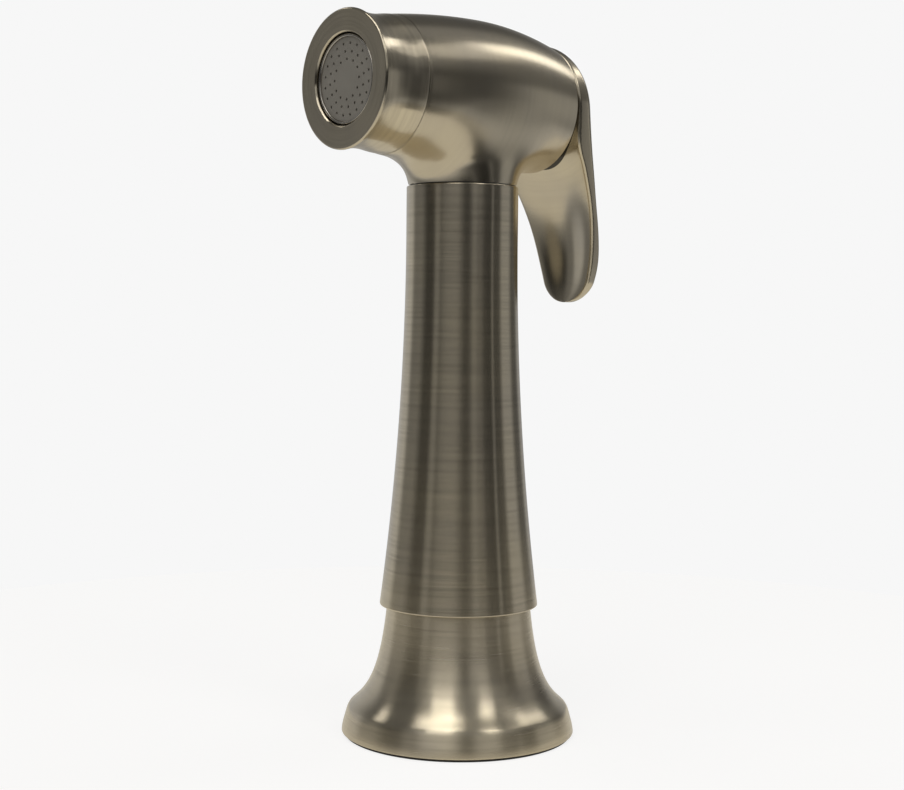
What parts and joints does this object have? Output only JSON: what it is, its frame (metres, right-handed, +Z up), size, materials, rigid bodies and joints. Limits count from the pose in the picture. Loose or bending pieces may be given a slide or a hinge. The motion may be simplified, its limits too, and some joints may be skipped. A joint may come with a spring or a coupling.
{
  "type": "kitchen hand spray with deck holder",
  "caption": "Trigger hand spray in brushed nickel that stands in a flared deck holder, with a rear thumb lever, a round spray face and a swivel hose inlet.",
  "frame": {"origin": "middle of the object's footprint box, on the deck surface that the holder stands on", "axes": "+Z up along the handle, -Y toward the spray face, +Y toward the lever, X across"},
  "size_m": [0.0538, 0.0722, 0.1639],
  "materials": {
    "brushed_nickel": "satin brushed nickel plate, fine brush lines",
    "bare_brass": "machined",
    "stainless": "bright",
    "black_rubber": "matte",
    "black_plastic": "moulded",
    "pale_plastic": "moulded",
    "face_plastic": "moulded, satin"
  },
  "bodies": {
    "holder": {"holder_flange": "brushed_nickel", "holder_gasket": "black_rubber", "holder_guide": "pale_plastic"},
    "inlet": {"inlet_tailpiece": "bare_brass", "inlet_oring_lower": "black_rubber", "inlet_oring_upper": "black_rubber", "swivel_washer": "pale_plastic", "inlet_strainer": "stainless"},
    "handset": {"handle_sleeve": "brushed_nickel", "waterway_tube": "bare_brass", "neck_oring": "black_rubber", "neck_washer": "black_plastic", "sleeve_locknut": "bare_brass", "tail_guide": "black_plastic", "tail_circlip": "stainless", "union_nut": "bare_brass", "head_body": "brushed_nickel", "nose_ring": "brushed_nickel", "nose_oring": "black_rubber", "spray_disc": "face_plastic", "disc_bezel": "stainless", "face_gasket": "black_rubber", "flow_diffuser": "pale_plastic", "spring_plate": "pale_plastic", "pivot_yoke": "stainless", "pivot_pin": "stainless", "yoke_screw_left": "stainless", "yoke_screw_right": "stainless", "valve_bonnet": "bare_brass", "stem_oring": "black_rubber", "valve_seat": "bare_brass"},
    "valve": {"valve_stem": "stainless", "valve_washer": "black_rubber", "washer_cup": "bare_brass", "valve_nut": "bare_brass", "valve_spring": "stainless"},
    "lever": {"lever": "brushed_nickel", "lever_pad": "black_plastic"}
  },
  "joints": [
    {"name": "handset_lift", "type": "slide", "parent": "holder", "child": "inlet", "axis": [0, 0, 1], "range_m": [0, 0.08]},
    {"name": "handset_turn", "type": "hinge", "parent": "inlet", "child": "handset", "pos_m": [0, -0.0015, 0.026], "axis": [0, 0, 1], "continuous": true},
    {"name": "lever_squeeze", "type": "hinge", "parent": "handset", "child": "lever", "pos_m": [0, 0.0188, 0.1497], "axis": [-1, 0, 0], "range_deg": [0, 5], "stiffness_Nm_per_rad": 1.15, "springref_deg": -4.98},
    {"name": "valve_travel", "type": "slide", "parent": "handset", "child": "valve", "axis": [0, -1, 0], "range_m": [0, 0.00075], "deforming": ["valve_spring"]}
  ],
  "couplings": [
    {"joint": "valve_travel", "follows": "lever_squeeze", "m_per_rad": 0.0085}
  ]
}
